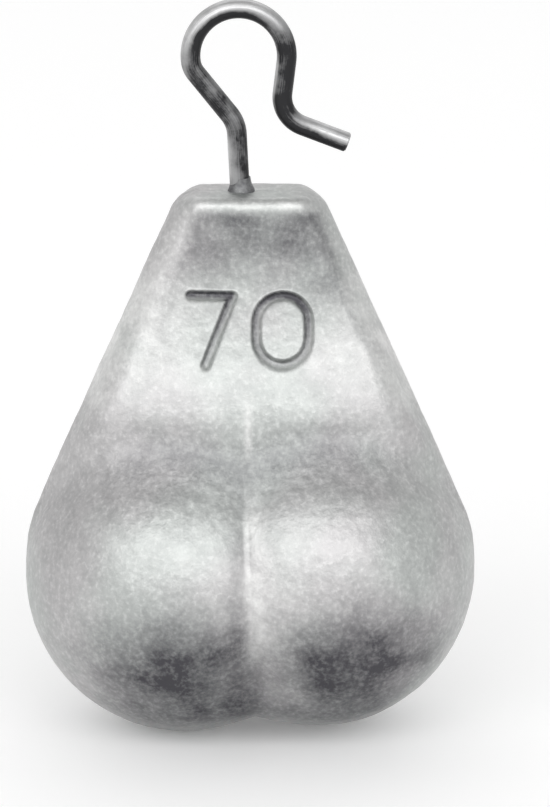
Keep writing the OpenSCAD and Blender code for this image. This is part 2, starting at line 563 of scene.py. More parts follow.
class MaterialTree:
    """A material with a Principled shader, and short methods that add the nodes the finishes share."""

    def __init__(self, name: str) -> None:
        """Makes the material.

        Args:
            name: Name of the material.
        """
        self.material = bpy.data.materials.new(name)
        self.material.use_nodes = True
        self.nodes = self.material.node_tree.nodes
        self.shader = self.nodes["Principled BSDF"]
        self.place = self.nodes.new("ShaderNodeTexCoord").outputs["Object"]

    def wire(self, value: Value, socket: bpy.types.NodeSocket) -> None:
        """Links an output to a socket, or sets the socket where the value is plain.

        Args:
            value: What the socket is given.
            socket: Socket of a node.
        """
        if isinstance(value, bpy.types.NodeSocket):
            self.material.node_tree.links.new(value, socket)
        elif isinstance(value, tuple) and len(value) == 3 and socket.type == "RGBA":
            socket.default_value = (*value, 1)
        else:
            socket.default_value = value

    def noise(
        self, per_m: float, detail: float, roughness: float, vector: bpy.types.NodeSocket | None = None
    ) -> bpy.types.NodeSocket:
        """Adds a noise texture.

        Args:
            per_m: Scale, in features to a unit of the vector.
            detail: Number of finer layers.
            roughness: Strength of the finer layers.
            vector: Coordinates, or None for Object coordinates.

        Returns:
            Its value, mostly between 0.25 and 0.75.
        """
        node = self.nodes.new("ShaderNodeTexNoise")
        self.wire(vector or self.place, node.inputs["Vector"])
        for key, value in (("Scale", per_m), ("Detail", detail), ("Roughness", roughness)):
            node.inputs[key].default_value = value
        return node.outputs["Fac"]

    def mapped(self, vector: bpy.types.NodeSocket, scale: Point) -> bpy.types.NodeSocket:
        """Scales coordinates.

        Args:
            vector: Coordinates.
            scale: Factor along each axis.

        Returns:
            The scaled coordinates.
        """
        node = self.nodes.new("ShaderNodeMapping")
        self.wire(vector, node.inputs["Vector"])
        node.inputs["Scale"].default_value = scale
        return node.outputs["Vector"]

    def attribute(self, name: str, vector: bool = False) -> bpy.types.NodeSocket:
        """Reads one of the mesh's own attributes.

        Args:
            name: Name of the attribute.
            vector: Whether it holds vectors, and not numbers.

        Returns:
            Its value.
        """
        node = self.nodes.new("ShaderNodeAttribute")
        node.attribute_name = name
        return node.outputs["Vector" if vector else "Fac"]

    def ramp(self, value: bpy.types.NodeSocket, ends: Ends) -> bpy.types.NodeSocket:
        """Stretches a value so that the ends become 0 and 1, and keeps it between them.

        Args:
            value: Output of another node.
            ends: Values that become 0 and 1.

        Returns:
            The stretched value.
        """
        node = self.nodes.new("ShaderNodeMapRange")
        self.wire(value, node.inputs["Value"])
        node.inputs["From Min"].default_value, node.inputs["From Max"].default_value = ends
        return node.outputs["Result"]

    def maths(self, operation: str, *values: Value) -> bpy.types.NodeSocket:
        """Adds a sum.

        Args:
            operation: Blender's name of the operation.
            values: What it works on, in order.

        Returns:
            The result.
        """
        node = self.nodes.new("ShaderNodeMath")
        node.operation = operation
        for value, socket in zip(values, node.inputs):
            self.wire(value, socket)
        return node.outputs["Value"]

    def mix(self, share: Value, first: Value, second: Value, blend: str = "MIX") -> bpy.types.NodeSocket:
        """Mixes two colours.

        Args:
            share: How much of the second, from 0 to 1.
            first: Colour or output.
            second: Colour or output.
            blend: Name of the way in which the second is laid on the first.

        Returns:
            The mixed colour.
        """
        node = self.nodes.new("ShaderNodeMix")
        node.data_type = "RGBA"
        node.blend_type = blend
        sockets = [s for s in node.inputs if s.enabled]
        for value, socket in zip((share, first, second), sockets):
            self.wire(value, socket)
        return next(s for s in node.outputs if s.enabled)

    def finish(self, colour: Value, roughness: Value, metallic: float, height: Value, depth: float) -> None:
        """Joins the results to the shader.

        Args:
            colour: Base colour.
            roughness: Roughness.
            metallic: 1 for metal, 0 for card.
            height: Relief, from 0 to 1.
            depth: Height in metres of the relief's full range.
        """
        self.wire(colour, self.shader.inputs["Base Color"])
        self.wire(roughness, self.shader.inputs["Roughness"])
        self.shader.inputs["Metallic"].default_value = metallic
        bump = self.nodes.new("ShaderNodeBump")
        bump.inputs["Distance"].default_value = depth
        self.wire(height, bump.inputs["Height"])
        self.wire(bump.outputs["Normal"], self.shader.inputs["Normal"])


@dataclass
class LeadPaintedLight:
    """Where a highlight and where shade are painted on the lead's colour.

    Depths are measured down from the casting's flat end, and widths from its axis. What ends in
    highlight, shade or darkening is the share of painted highlight, painted shade or darkening where it is
    strongest.
    """

    # Painted highlight: the edges of the neck's face, the walls, the flare, the lobes and the seam
    edge_highlight: float = 0.52
    edge_w: float = 0.5
    edge_inset: float = 0.5
    edge_end: Ends = (5.0, 9.0)
    edge_less: float = 0.5
    edge_less_right: float = 0.25
    below_lip: Ends = (0.5, 1.5)
    to_right: Ends = (-1.0, 4.0)
    wall_highlight: float = 0.6
    wall_less_right: float = 0.35
    wall_start: Ends = (-0.8, 0.1)
    wall_band: Band = ((3.0, 7.0), (11.0, 12.8))
    flank_highlight: float = 0.16
    flank_x: Ends = (2.0, 4.5)
    flank_band: Band = ((4.0, 6.0), (9.0, 11.0))
    inner_highlight: float = 0.3
    inner_x: float = 0.9
    inner_w: float = 2.3
    inner_band: Band = ((18.0, 21.5), (24.0, 26.0))
    seam_highlight: float = 0.5
    seam_band: Band = ((10.6, 11.6), (13.0, 15.0))
    groove_x: float = 0.2
    groove_w: float = 0.5
    groove_band: Band = ((15.5, 17.0), (24.0, 26.0))
    highlight_size: float = 1.6
    highlight_unevenness: float = 0.4
    # Painted shade: the mark, the crease, the groove, the neck, the patches and the foot; and a little
    # darkening on the outer sides
    mark_dirt: float = 0.9
    crease_shade: float = 0.5
    crease_above: float = 0.28
    crease_w: float = 1.25
    crease_end: Ends = (4.5, 10.5)
    groove_shade: float = 0.26
    groove_shade_x: float = -0.7
    groove_shade_w: float = 0.6
    groove_start: Ends = (15.0, 19.0)
    groove_end: Ends = (23.5, 26.0)
    groove_less: float = 0.6
    neck_shade: float = 0.55
    neck_sides: Ends = (-2.2, 3.1)
    neck_spread: float = 0.35
    neck_fade: Ends = (0.0, 0.9)
    neck_start: Ends = (0.5, 1.1)
    neck_end: Ends = (1.6, 6.6)
    neck_longer: float = 1.8
    neck_longer_x: Ends = (1.5, 5.0)
    neck_unevenness: float = 0.3
    patch_shade: float = 0.9
    patch_x: float = 4.9
    patch_shift: float = 1.0
    patch_w: float = 4.7
    patch_drop: float = 3.25
    patch_h: float = 3.4
    patch_power: float = 1.4
    patch_unevenness: float = 0.2
    patch_y: Ends = (2.0, 6.0)
    patch_back: float = 0.45
    foot_shade: float = 0.25
    foot_drop: Ends = (4.5, 8.0)
    foot_gap: float = 0.8
    foot_gap_x: float = 0.8
    foot_gap_w: float = 2.2
    outer_darkening: float = 0.07
    outer_x: Ends = (7.5, 11.0)
    outer_s: Ends = (15.0, 18.0)
    shade_size: float = 2.6

    def painted_highlight(self, casting: "Casting", points: np.ndarray) -> np.ndarray:
        """Share of painted highlight, from 0 to 1.

        The highlight is painted in a bell-shaped stripe along each edge of the neck's face, on the walls,
        on the flare beside the mark, along the seam and the groove, and where each lobe bulges next to the
        groove. The edges and walls get less of it on the right, away from the light. A point is on a wall
        where the field of the sides is above that of the face.

        Args:
            casting: The worn casting.
            points: Points of its surface.

        Returns:
            Share of painted highlight at each point.
        """
        x, y, s = casting.measured(points)
        sides, face = casting.sides_and_face(x, np.abs(y), s)
        # Painted highlight: stripes along the edges, the walls, the flare, the lobes, the seam and the
        # groove
        below_lip, right = ease(*self.below_lip, s), ease(*self.to_right, x)
        from_edge = -np.minimum(sides, face) - self.edge_inset * below_lip
        edge = bell(0, self.edge_w, from_edge) * (1 - ease(*self.edge_end, s))
        edge = edge * (1 - below_lip * (self.edge_less + self.edge_less_right * right))
        wall = ease(*self.wall_start, sides - face) * within(self.wall_band, s)
        wall = wall * (1 - self.wall_less_right * right)
        flank = ease(*self.flank_x, np.abs(x)) * within(self.flank_band, s) * (1 - wall)
        inner = bell(self.inner_x, self.inner_w, x) * within(self.inner_band, s)
        seam = bell(casting.seam_x, casting.seam_w, x) * within(self.seam_band, s)
        seam = seam + bell(self.groove_x, self.groove_w, x) * within(self.groove_band, s)
        share = self.edge_highlight * edge + self.wall_highlight * wall + self.flank_highlight * flank
        share += self.inner_highlight * inner + self.seam_highlight * seam * (y < 0)
        uneven = 1 + self.highlight_unevenness * waves(points, self.highlight_size, Seed.HIGHLIGHT_WAVES)
        return np.clip(share * uneven, 0, 1)

    def neck(self, x: np.ndarray, s: np.ndarray) -> np.ndarray:
        """How far each point lies in the painted shade on the neck, from 0 to 1.

        The field starts below the lip, widens downwards and reaches further down on the right.

        Args:
            x: Widths of the points.
            s: Depths of the points below the flat end.

        Returns:
            1 inside the field and 0 outside it.
        """
        left, right = self.neck_sides
        beside = np.maximum(left - x, x - right) - self.neck_spread * s
        down = s - self.neck_longer * ease(*self.neck_longer_x, x)
        upright = ease(*self.neck_start, s) * (1 - ease(*self.neck_end, down))
        return upright * (1 - ease(*self.neck_fade, beside))

    def patches(self, casting: "Casting", x: np.ndarray, s: np.ndarray, uneven: np.ndarray) -> np.ndarray:
        """How far each point lies in the patches of painted shade low on the lobes' faces.

        Each patch is a flat-topped cloud with an uneven edge: the exponential of minus a power of the
        distance from its middle, in its own half width and half height.

        Args:
            casting: The worn casting.
            x: Widths of the points.
            s: Depths of the points below the flat end.
            uneven: Uneven ground at the points.

        Returns:
            About 1 in the middle of a patch and 0 far outside it.
        """
        patches = np.zeros(x.shape)
        for side in (-1, 1):
            across = (x - self.patch_shift - side * self.patch_x) / self.patch_w
            down = (s - casting.lobe_s[side] - self.patch_drop) / self.patch_h
            cloud = np.exp(-((across**2 + down**2) ** self.patch_power) + self.patch_unevenness * uneven)
            patches = np.maximum(patches, cloud)
        return patches

    def painted_shade_at(self, casting: "Casting", points: np.ndarray) -> np.ndarray:
        """Share of painted shade at each point, from 0 to 1.

        The shade is painted in the strokes of the mark, in the crease above the lobes, down one wall of
        the groove between them, on the neck, at the foot, and most in the patches low on their faces,
        which are weaker on the back. The lobes' outer sides are made a little darker too.

        Args:
            casting: The worn casting.
            points: Points of its surface.

        Returns:
            Share of painted shade at each point.
        """
        x, y, s = casting.measured(points)
        from_middle = np.abs(y)
        uneven = waves(points, self.shade_size, Seed.SHADE_WAVES, limit=1)
        lobes = np.minimum(casting.lobe(-1, x, y, s), casting.lobe(1, x, y, s))
        # Painted shade along the crease between the plate and the lobes
        crease = bell(-self.crease_above, self.crease_w, casting.plate(x, from_middle, s) - lobes)
        crease = crease * (1 - ease(*self.crease_end, np.abs(x)))
        # Painted shade down the groove's wall that faces away from the light
        groove = bell(self.groove_shade_x, self.groove_shade_w, x) * ease(*self.groove_start, s)
        groove = groove * (1 - self.groove_less * ease(*self.groove_end, s))
        # Painted shade in patches low on the lobes' faces, weaker on the back
        patches = self.patches(casting, x, s, uneven) * ease(*self.patch_y, from_middle)
        patches = patches * np.where(y > 0, self.patch_back, 1)
        # Painted shade, darker towards the bottom and less in the middle
        foot = ease(*self.foot_drop, s - casting.lobe_s[-1])
        foot = foot * (1 - self.foot_gap * bell(self.foot_gap_x, self.foot_gap_w, x))
        # A little darker on the lobes' outer lower sides
        outer = ease(*self.outer_x, np.abs(x)) * ease(*self.outer_s, s)
        # Sum of the painted shade: strokes, crease, groove, neck, patches, foot and outer sides
        share = self.mark_dirt * casting.mark.shade_share(x, s) * (y < 0)
        share += self.crease_shade * crease + self.groove_shade * groove
        # Painted shade on the neck
        share += self.neck_shade * self.neck(x, s) * (1 + self.neck_unevenness * uneven)
        share += self.patch_shade * patches + self.foot_shade * foot + self.outer_darkening * outer
        return np.clip(share, 0, 1)


@dataclass
class Casting:
    """The lead casting: a drafted plate with a neck and a hollow flare, and two round lobes.

    The form is a field made of rounded cuts and joins. The mesh is that field's surface, found along
    rays from a core point, and then given its small relief along its normals.
    """

    finish: CastLead
    mark: WeightMark = field(default_factory=WeightMark)
    # Where the highlight and the shade are painted on the lead
    painted_light: LeadPaintedLight = field(default_factory=LeadPaintedLight)
    # Plate, from its flat end down, and how its edges are rounded
    top_z: float = -7.6
    neck_w: float = 8.0
    flank_angle: float = 24.0
    neck_t: float = 4.6
    neck_h: float = 2.2
    flare_h: float = 9.3
    flare_limit: float = 0.9
    belly_t: float = 9.1
    belly_slope: float = 5.0
    belly_blend: float = 0.5
    shoulder_r: float = 8.4
    crown_r: float = 30.0
    lip_r: float = 0.7
    lip_fade: Ends = (-1.0, 0.6)
    corner_r: float = 1.0
    wall_draft: float = 13.0
    neck_edge_r: float = 1.4
    belly_edge_r: float = 0.8
    edge_change: Ends = (3.0, 13.0)
    lobe_edge_r: float = 2.8
    lobe_edge_s: float = 18.0
    lobe_edge_w: float = 3.4
    ridge_r: float = 0.3
    # Lobes, and the fillets round them
    lobe_step: float = 0.35
    crease_r: float = 1.4
    crease_y: Ends = (0.0, 3.0)
    side_crease_r: float = 0.35
    side_crease_x: Ends = (6.5, 11.5)
    groove_r: float = 0.1
    # Small relief, which mostly stays within the skin that the form is thinned by
    skin: float = 0.05
    dent: float = 0.035
    dent_size: float = 4.2
    pit: float = 0.012
    pit_size: float = 0.9
    pit_limit: float = 1.5
    flash: float = 0.05
    flash_w: float = 0.12
    flash_size: float = 5.0
    flash_unevenness: float = 0.4
    seam_ridge: float = 0.04
    seam_x: float = -0.1
    seam_w: float = 0.22
    seam_sway: float = 0.05
    seam_size: float = 3.0
    seam_band: Band = ((10.6, 11.6), (13.0, 14.0))
    # Mesh
    core_below_top: float = 13.6
    ray_l_in_lobes: float = 3.0
    halvings: int = 30
    spokes: int = 360
    spoke_samples: int = 720
    front_rings: int = 150
    back_rings: int = 104
    ring_samples: int = 420
    mark_density: float = 1.3
    mark_turn: Ends = (0.5, 1.1)
    groove_density: float = 2.2
    groove_turn: Ends = (1.25, 1.5)

    def __post_init__(self) -> None:
        """Reads the lobes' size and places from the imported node's box."""
        low, high = (np.array(corner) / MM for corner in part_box("lead_body"))
        self.lobe_r = (high[1] - low[1]) / 2
        self.axis_x = (low[0] + high[0]) / 2
        self.lobe_x = (high[0] - low[0]) / 2 - self.lobe_r
        self.lobe_s = {-1: self.top_z - low[2] - self.lobe_r}
        self.lobe_s[1] = self.lobe_s[-1] - self.lobe_step

    def measured(self, points: np.ndarray) -> tuple[np.ndarray, np.ndarray, np.ndarray]:
        """Places of points from the casting's axis, from its parting plane and down from its flat end."""
        return points[..., 0] - self.axis_x, points[..., 1], self.top_z - points[..., 2]

    def half_depth(self, s: np.ndarray) -> np.ndarray:
        """Half of the plate's thickness: an upright neck, a hollow arc and then a nearly flat belly.

        The arc starts upright at the neck's foot, and is followed to the limit, a share of its radius. The
        belly starts where the flare ends, and the lesser of the two is taken, less a quarter of the blend
        times the square of how near they are to each other.

        Args:
            s: Depth below the flat end.

        Returns:
            Distance from the parting plane to the plate's face.
        """
        rise = (self.belly_t - self.neck_t) / 2
        arc_r = (self.flare_h**2 + rise**2) / (2 * rise)
        down = np.clip(s - self.neck_h, 0, arc_r * self.flare_limit)
        flare = self.neck_t / 2 + arc_r - np.sqrt(arc_r**2 - down**2)
        slope = math.tan(math.radians(self.belly_slope))
        belly = self.belly_t / 2 + (s - self.neck_h - self.flare_h) * slope
        near = np.maximum(1 - np.abs(flare - belly) / self.belly_blend, 0)
        return np.minimum(flare, belly) - self.belly_blend * near**2 / 4

    def outline(self, x: np.ndarray, s: np.ndarray) -> np.ndarray:
        """Distance outside the plate's outline: two flank lines, each touching its shoulder's circle.

        Args:
            x: Distance from the casting's axis.
            s: Depth below the flat end.

        Returns:
            Distance, negative inside.
        """
        lean = math.radians(self.flank_angle)
        beside = np.abs(x)
        shoulder_x = self.lobe_x + self.lobe_r - self.shoulder_r
        shoulder_s = (self.shoulder_r + (shoulder_x - self.neck_w / 2) * math.cos(lean)) / math.sin(lean)
        flank = (beside - self.neck_w / 2) * math.cos(lean) - s * math.sin(lean)
        past = (beside - shoulder_x) * math.sin(lean) + (s - shoulder_s) * math.cos(lean)
        circle = np.hypot(beside - shoulder_x, s - shoulder_s) - self.shoulder_r
        bottom = s - shoulder_s - self.shoulder_r
        return np.where(past > 0, np.where(beside > shoulder_x, circle, bottom), flank)

    def sides_and_face(self, x: np.ndarray, y: np.ndarray, s: np.ndarray) -> tuple[np.ndarray, np.ndarray]:
        """Fields of the plate's sides, with its flat end, and of its face.

        The walls lean in from the parting plane by the draft, and the ridge where they meet is rounded a
        little. The face is crowned from side to side: it is turned about an upright axis behind it.

        Args:
            x: Distance from the casting's axis.
            y: Distance from the parting plane, never negative.
            s: Depth below the flat end.

        Returns:
            The two fields.
        """
        draft = math.radians(self.wall_draft)
        from_ridge = np.hypot(y, self.ridge_r) - self.ridge_r
        wall = self.outline(x, s) * math.cos(draft) + from_ridge * math.sin(draft)
        behind = self.crown_r - self.belly_t / 2
        face = np.hypot(x, y + behind) - behind - self.half_depth(s)
        return rounded_cut(wall, -s, self.corner_r), face

    def plate(self, x: np.ndarray, y: np.ndarray, s: np.ndarray) -> np.ndarray:
        """Field of the plate.

        The edges between face and walls are rounded by the lip's radius along the flat end, and down the
        flanks by one that goes from the neck's to the belly's, with a bell of a larger one at the lobes.

        Args:
            x: Distance from the casting's axis.
            y: Distance from the parting plane, never negative.
            s: Depth below the flat end.

        Returns:
            Field, negative inside.
        """
        sides, face = self.sides_and_face(x, y, s)
        at_lobe = bell(self.lobe_edge_s, self.lobe_edge_w, s)
        flank_r = self.neck_edge_r + ease(*self.edge_change, s) * (self.belly_edge_r - self.neck_edge_r)
        flank_r = flank_r + at_lobe * (self.lobe_edge_r - self.belly_edge_r)
        edge_r = self.lip_r + ease(*self.lip_fade, self.outline(x, s) + s) * (flank_r - self.lip_r)
        return rounded_cut(sides, face, edge_r)

    def lobe(self, side: int, x: np.ndarray, y: np.ndarray, s: np.ndarray) -> np.ndarray:
        """Field of one round lobe."""
        return np.sqrt((x - side * self.lobe_x) ** 2 + y**2 + (s - self.lobe_s[side]) ** 2) - self.lobe_r

    def form(self, points: np.ndarray) -> np.ndarray:
        """Field of the whole casting, thinned by its skin.

        The fillet between plate and lobes is smaller at the sides, and none at the parting plane.

        Args:
            points: Points in millimetres, with X, Y and Z in the last axis.

        Returns:
            Field, negative inside.
        """
        x, y, s = self.measured(points)
        y = np.abs(y)
        lobes = rounded_join(self.lobe(-1, x, y, s), self.lobe(1, x, y, s), self.groove_r)
        beside = ease(*self.side_crease_x, np.abs(x))
        fillet = self.crease_r + beside * (self.side_crease_r - self.crease_r)
        fillet = fillet * ease(*self.crease_y, y)
        return rounded_join(self.plate(x, y, s), lobes, fillet) + self.skin

    def on_surface(self, turn: np.ndarray, tilt: np.ndarray) -> np.ndarray:
        """Points where rays from the core meet the surface.

        A ray's direction is (sin tilt cos turn, -cos tilt, sin tilt sin turn), and halving finds where
        the field changes sign.

        Args:
            turn: Angle in the parting plane, from +X towards +Z.
            tilt: Angle from the front pole, which is a right angle at the parting line.

        Returns:
            Points with X, Y and Z in the last axis.
        """
        core = np.array([self.axis_x, 0, self.top_z - self.core_below_top])
        ray = np.stack([np.sin(tilt) * np.cos(turn), -np.cos(tilt), np.sin(tilt) * np.sin(turn)], -1)
        near, far = np.zeros(turn.shape), np.full(turn.shape, self.ray_l_in_lobes * self.lobe_r)
        for _ in range(self.halvings):
            middle = (near + far) / 2
            inside = self.form(core + ray * middle[..., None]) < 0
            near, far = np.where(inside, middle, near), np.where(inside, far, middle)
        return core + ray * ((near + far) / 2)[..., None]

    def spoke_turns(self) -> np.ndarray:
        """Turns of the spokes, closest where they pass the mark and the groove, and alike on both sides.

        Returns:
            Angles from +X towards +Z, once round from straight down.
        """
        turn = np.linspace(-math.pi / 2, math.pi / 2, self.spoke_samples + 1)[None, :]
        rim = self.on_surface(turn, np.full(turn.shape, math.pi / 2))
        middle = (turn[:, 1:] + turn[:, :-1]) / 2
        weight = 1 + self.mark_density * ease(*self.mark_turn, middle)
        weight += self.groove_density * ease(*self.groove_turn, -middle)
        right = evened(turn, rim, weight, self.spokes // 2)[0]
        return np.concatenate([right, math.pi - right[-2:0:-1]])

    def ring_tilts(self, turn: np.ndarray, face: Face, count: int) -> np.ndarray:
        """Tilts of the rings of one face, at equal lengths along each spoke, but closer on the mark.

        Args:
            turn: Turns of the spokes.
            face: Front or back.
            count: Number of steps from the pole to the parting line.

        Returns:
            Tilts as spokes by rings, from the pole to the parting line.
        """
        quarter = math.pi / 2
        pole = quarter * (1 + face.value)
        tilt = np.linspace(pole, quarter, self.ring_samples)[None, :] * np.ones((len(turn), 1))
        points = self.on_surface(turn[:, None] * np.ones(tilt.shape), tilt)
        if face is Face.BACK:
            return evened(tilt, points, 1.0, count)
        x, _, s = self.measured((points[:, 1:] + points[:, :-1]) / 2)
        return evened(tilt, points, 1 + self.mark_density * self.mark.nearness(x, s), count)

    def relief(self, points: np.ndarray) -> np.ndarray:
        """Height of the small relief: dents and pits of the casting, the mark, the flash and the seam.

        Args:
            points: Points of the surface.

        Returns:
            Height along the normal in millimetres. Only the ridge on the seam rises above the skin that
            the form was thinned by.
        """
        x, y, s = self.measured(points)
        dents = self.dent / 2 * waves(points, self.dent_size, Seed.DENTS, limit=1)
        pits = self.pit * waves(points, self.pit_size, Seed.PITS, self.pit_limit)
        ragged = 1 - self.flash_unevenness * (1 - waves(points, self.flash_size, Seed.FLASH))
        flash = self.flash * bell(0, self.flash_w, y) * ragged
        sway = self.seam_sway * waves(points, self.seam_size, Seed.SEAM)
        ridge = self.seam_ridge * bell(self.seam_x, self.seam_w, x + sway) * within(self.seam_band, s)
        mark = self.mark.depth * self.mark.cut(x, s)
        return np.minimum(dents + pits + flash, self.skin) + (ridge - mark) * (y < 0)

    def build(self) -> bpy.types.Object:
        """Builds and dresses the casting.

        Returns:
            The object.
        """
        turn = self.spoke_turns()
        front = self.ring_tilts(turn, Face.FRONT, self.front_rings)
        back = self.ring_tilts(turn, Face.BACK, self.back_rings)
        tilt = np.concatenate([front, back[:, -2::-1]], axis=1).T
        points = self.on_surface(turn[None, :] * np.ones(tilt.shape), tilt)
        round_step = np.roll(points, -1, axis=1) - np.roll(points, 1, axis=1)
        out_step = np.gradient(points, axis=0)
        normal = np.cross(round_step, out_step)
        normal[0], normal[-1] = (0, -1, 0), (0, 1, 0)
        normal /= np.linalg.norm(normal, axis=-1, keepdims=True)
        piece = closed_mesh("lead_casting", points + normal * self.relief(points)[..., None])
        # The painted highlight and the painted shade, which the lead's finish mixes into its colour
        keep_attribute(piece, "painted_highlight", self.painted_light.painted_highlight(self, points))
        keep_attribute(piece, "painted_shade", self.painted_light.painted_shade_at(self, points))
        piece.data.materials.append(self.finish.material())
        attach(piece, ROOT)
        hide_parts("lead_body")
        return piece


@dataclass(frozen=True)
class WireStretch:
    """One stretch of the wire, straight unless it has a radius and a way to turn."""

    length: float
    radius: float = math.inf
    way: Bend = Bend.NONE

    @classmethod
    def bent(cls, radius: float, turn: float, way: Bend) -> "WireStretch":
        """A stretch bent at one radius, which turns by an angle in degrees."""
        return cls(math.radians(turn) * radius, radius, way)


@dataclass
class WireHook:
    """The hook: one length of round wire, followed from the tip of its guide tail to its buried foot."""

    finish: DrawnSteel
    # Shape of the wire
    wire_d: float = 1.1
    loop_r: float = 2.66
    loop_h: float = 7.6
    kink_r: float = 1.25
    kink_turn: float = 31.0
    slant_angle: float = 38.6
    slant_l: float = 2.95
    elbow_r: float = 2.0
    stem_lean: float = 3.2
    leg_lean: float = 7.2
    leg_l: float = 1.8
    throat_r: float = 1.75
    tail_slope: float = 21.0
    tail_l: float = 2.7
    stem_depth: float = 9.0
    anchor_r: float = 1.6
    anchor_l: float = 2.4
    # Mesh
    step: float = 0.02
    rings_every: int = 5
    sides: int = 56
    cut_edge: float = 0.08
    sharp_angle: float = 40.0
    # Painted shade on the wire: the way the light comes from, and where the shade is laid
    lit_from: Place = (-0.45, 0.89)
    wire_shade_ends: Ends = (-0.42, 0.42)
    wire_shade_blur: int = 14
    stem_share: float = 0.85
    stem_z: Ends = (-5.2, -3.6)
    slant_extra_shade: float = 0.58
    leg_extra_shade: float = 0.3
    leg_x: Ends = (1.2, 2.2)
    extra_shade_end_x: Ends = (3.0, 4.2)
    extra_shade_end_z: Ends = (0.0, 2.0)

    def stretches(self, stem_l: float) -> list[WireStretch]:
        """The wire's stretches, in order from the tip of the guide tail.

        Args:
            stem_l: Length of the straight stem.

        Returns:
            The stretches, in millimetres.
        """
        throat_turn = 90 + self.leg_lean - self.tail_slope
        loop_turn = 180 + self.slant_angle - self.kink_turn + self.leg_lean
        return [
            WireStretch(self.tail_l),
            WireStretch.bent(self.throat_r, throat_turn, Bend.RIGHT),
            WireStretch(self.leg_l),
            WireStretch.bent(self.loop_r, loop_turn, Bend.LEFT),
            WireStretch.bent(self.kink_r, self.kink_turn, Bend.LEFT),
            WireStretch(self.slant_l),
            WireStretch.bent(self.elbow_r, self.slant_angle - self.stem_lean, Bend.RIGHT),
            WireStretch(stem_l),
            WireStretch.bent(self.anchor_r, 90 - self.stem_lean, Bend.LEFT),
            WireStretch(self.anchor_l),
        ]

    def middle_line(self, stretches: list[WireStretch]) -> tuple[np.ndarray, np.ndarray, np.ndarray]:
        """Follows the wire's middle line in equal steps.

        The heading is the sum of the curvature over the length, and the place is the sum of the heading.
        The loop's centre ends up at the origin.

        Args:
            stretches: The wire's stretches, at least up to the loop.

        Returns:
            Lengths along the wire, places as X and Z, and headings from +X towards +Z.
        """
        ends = np.cumsum([stretch.length for stretch in stretches])
        curve = np.array([stretch.way.value / stretch.radius for stretch in stretches])
        count = int(round(ends[-1] / self.step))
        run = np.linspace(0, ends[-1], count + 1)
        mid = (run[1:] + run[:-1]) / 2
        step = run[1]
        turned = running_sum(curve[np.searchsorted(ends, mid)] * step, 0)
        heading = math.radians(180 - self.tail_slope) + turned
        halfway = (heading[1:] + heading[:-1]) / 2
        stride = np.stack([np.cos(halfway), np.sin(halfway)], -1) * step
        place = running_sum(stride, 0)
        at = np.searchsorted(run, (ends[LOOP_STRETCH - 1] + ends[LOOP_STRETCH]) / 2)
        inward = np.array([-math.sin(heading[at]), math.cos(heading[at])])
        return run, place - place[at] - self.loop_r * inward, heading

    def stem(self) -> tuple[np.ndarray, float]:
        """Where the stem enters the casting.

        Returns:
            Place on its middle line, as X and Z, and the length of the whole straight stem.
        """
        _, upper, _ = self.middle_line(self.stretches(0)[:STEM_STRETCH])
        lean = math.radians(self.stem_lean)
        drop = self.loop_h + upper[-1, 1]
        return upper[-1] + drop * np.array([math.tan(lean), -1]), drop / math.cos(lean) + self.stem_depth

    def wire_shade_left(self, outward: np.ndarray, place: np.ndarray) -> np.ndarray:
        """Share of painted shade on the wire: none where it faces the light above, and all of it beneath.

        There is less of it on the stem, and more on the slanted run and the free leg: there it is raised
        to a power below 1. It fades along the wire.

        Args:
            outward: Direction away from the wire's middle line at each point.
            place: Centre of each ring, as X and Z.

        Returns:
            Share of painted shade at each point, from 0 to 1.
        """
        across, up = self.lit_from
        facing = (across * outward[..., 0] + up * outward[..., 2]) / math.hypot(across, up)
        x, z = place[:, :1], place[:, 1:]
        extra_shade = self.slant_extra_shade + self.leg_extra_shade * ease(*self.leg_x, x)
        extra_shade = extra_shade * (1 - ease(*self.extra_shade_end_x, x)) * (1 - ease(*self.extra_shade_end_z, z))
        wire_shade = (1 - ease(*self.wire_shade_ends, facing)) ** (1 - extra_shade)
        wire_shade = wire_shade * (1 - (1 - self.stem_share) * (1 - ease(*self.stem_z, z)))
        return blurred(wire_shade, self.wire_shade_blur)

    def build(self) -> bpy.types.Object:
        """Builds and dresses the wire.

        Returns:
            The object.
        """
        run, place, heading = self.middle_line(self.stretches(self.stem()[1]))
        keep = np.unique(np.concatenate([np.arange(0, len(run), self.rings_every), [len(run) - 1]]))
        # Both cut ends close in three rings: the full edge, the small bevel and the middle of the face
        keep = np.pad(keep, 2, mode="edge")
        run, place, heading = run[keep], place[keep], heading[keep]
        radius = np.full(len(run), self.wire_d / 2)
        radius[[0, -1]] = 0
        radius[[1, -2]] = self.wire_d / 2 - self.cut_edge
        shift = np.zeros(len(run))
        shift[2], shift[-3] = self.cut_edge, -self.cut_edge
        ahead = np.stack([np.cos(heading), np.sin(heading)], -1)
        rings, outward, around = rings_along(place + ahead * shift[:, None], heading, radius, self.sides)
        piece = closed_mesh("wire_hook", rings)
        drawn = np.empty(rings.shape)
        drawn[..., 0] = np.cos(around)
        drawn[..., 1] = np.sin(around)
        drawn[..., 2] = (run / self.wire_d)[:, None]
        keep_attribute(piece, "drawn", drawn)
        # Painted shade on the sides of the wire away from the light
        keep_attribute(piece, "wire_shade", self.wire_shade_left(outward, place))
        piece.data.set_sharp_from_angle(angle=math.radians(self.sharp_angle))
        piece.data.materials.append(self.finish.material())
        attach(piece, ROOT)
        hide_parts("wire_clip")
        return piece


